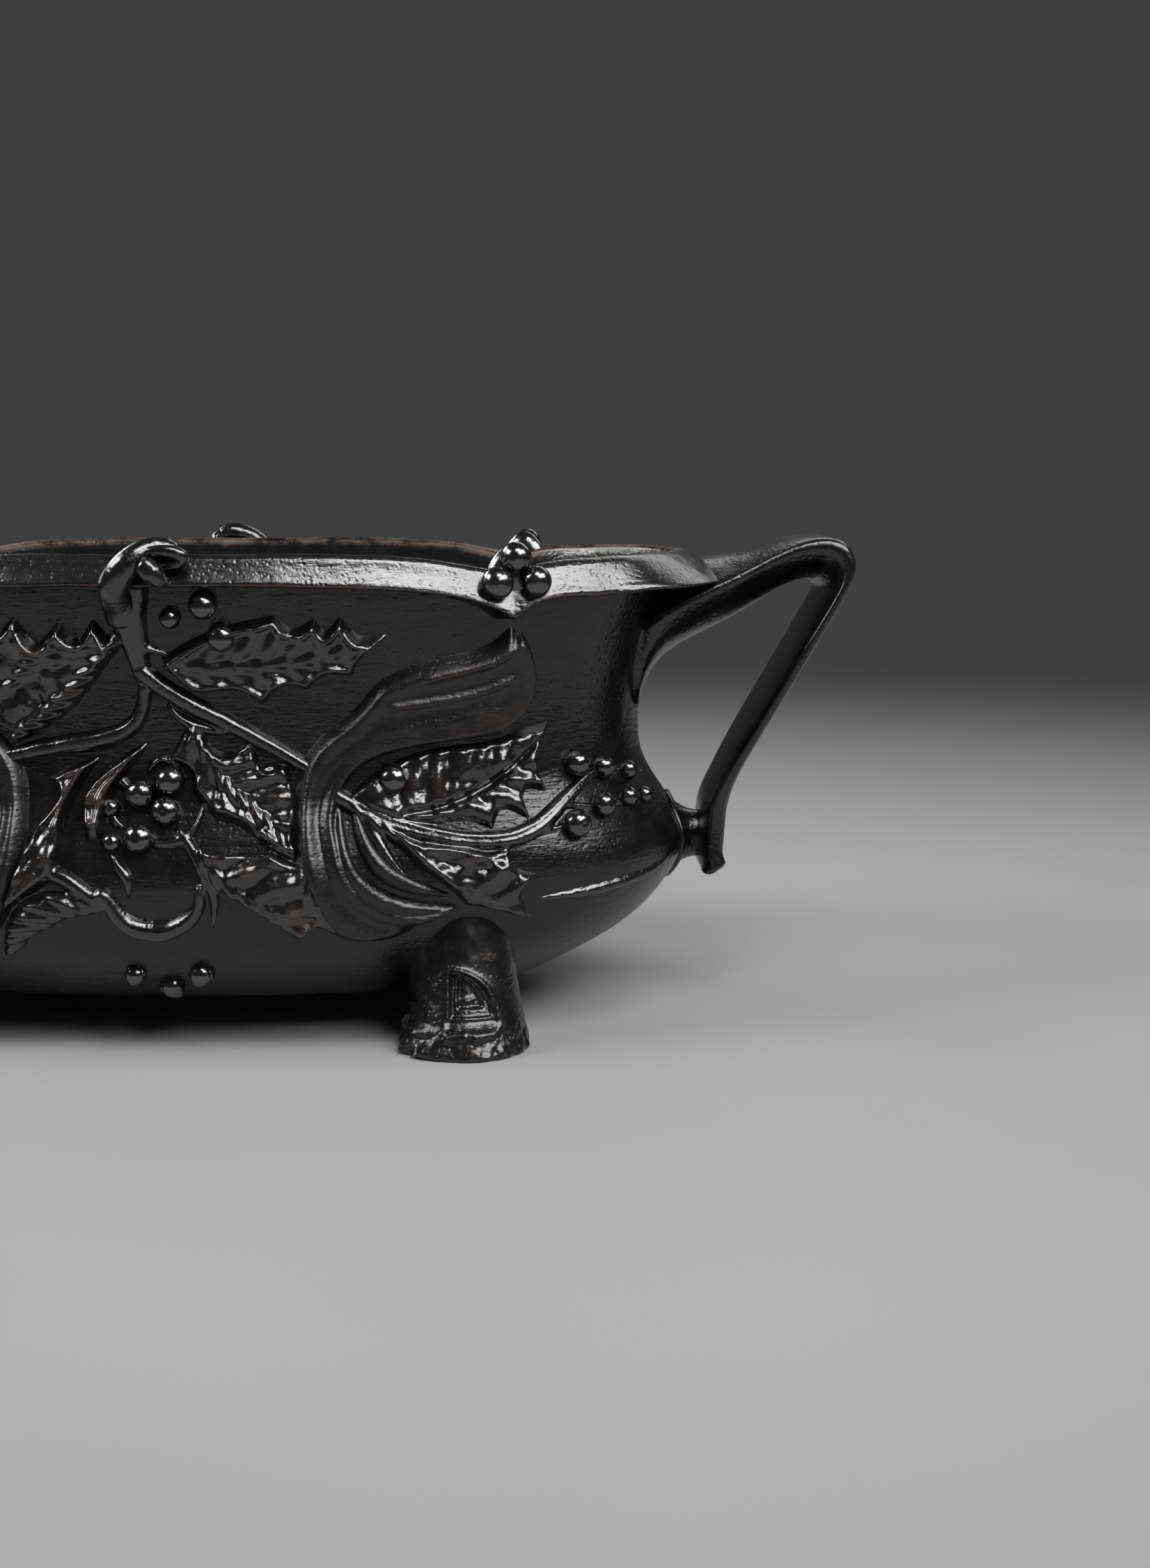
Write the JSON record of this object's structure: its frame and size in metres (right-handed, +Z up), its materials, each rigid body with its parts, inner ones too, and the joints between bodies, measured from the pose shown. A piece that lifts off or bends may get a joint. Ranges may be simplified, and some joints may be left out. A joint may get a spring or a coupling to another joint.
{
  "type": "cast iron planter",
  "caption": "Boat-shaped black cast iron jardiniere with holly and berry relief, strap handles, short feet and a lift-out zinc liner.",
  "frame": {"origin": "on the floor, under the middle of the bowl", "axes": "+X along the length to the right end, -Y to the front that the picture shows, +Z up"},
  "size_m": [0.4522, 0.19, 0.1656],
  "materials": {
    "black_cast_iron": "gloss black paint over rough sand-cast iron, rubbed brown on edges",
    "black_steel_screw": "blackened steel",
    "zinc_sheet": "dull grey zinc with a mottled bloom",
    "galvanised_wire": "galvanised wire"
  },
  "bodies": {
    "planter": {"body_shell": "black_cast_iron", "rim_lip": "black_cast_iron", "right_handle": "black_cast_iron", "left_handle": "black_cast_iron", "front_right_foot": "black_cast_iron", "front_left_foot": "black_cast_iron", "back_right_foot": "black_cast_iron", "back_left_foot": "black_cast_iron", "front_right_strap": "black_cast_iron", "front_left_strap": "black_cast_iron", "back_right_strap": "black_cast_iron", "back_left_strap": "black_cast_iron", "front_right_holly_spray": "black_cast_iron", "front_left_holly_spray": "black_cast_iron", "back_right_holly_spray": "black_cast_iron", "back_left_holly_spray": "black_cast_iron", "front_right_spray_berries": "black_cast_iron", "front_left_spray_berries": "black_cast_iron", "back_right_spray_berries": "black_cast_iron", "back_left_spray_berries": "black_cast_iron", "front_right_rim_berries": "black_cast_iron", "front_left_rim_berries": "black_cast_iron", "back_right_rim_berries": "black_cast_iron", "back_left_rim_berries": "black_cast_iron", "front_branch": "black_cast_iron", "back_branch": "black_cast_iron", "front_branch_berries": "black_cast_iron", "back_branch_berries": "black_cast_iron", "front_drop_berries": "black_cast_iron", "back_drop_berries": "black_cast_iron", "front_rim_curl": "black_cast_iron", "back_rim_curl": "black_cast_iron", "foot_screws": "black_steel_screw", "handle_screws": "black_steel_screw"},
    "liner": {"liner_pan": "zinc_sheet", "liner_rim_wire": "zinc_sheet", "liner_left_lug": "zinc_sheet", "liner_right_lug": "zinc_sheet", "liner_rivets": "zinc_sheet"},
    "left_ring": {"left_lifting_ring": "galvanised_wire"},
    "right_ring": {"right_lifting_ring": "galvanised_wire"}
  },
  "joints": [
    {"name": "liner_lift", "type": "slide", "parent": "planter", "child": "liner", "axis": [0, 0, 1], "range_m": [0, 0.15]},
    {"name": "right_ring_swing", "type": "hinge", "parent": "liner", "child": "right_ring", "pos_m": [0.1218, 0, 0.126], "axis": [0, 1, 0], "range_deg": [0, 165]},
    {"name": "left_ring_swing", "type": "hinge", "parent": "liner", "child": "left_ring", "pos_m": [-0.1218, 0, 0.126], "axis": [0, -1, 0], "range_deg": [0, 165]}
  ]
}
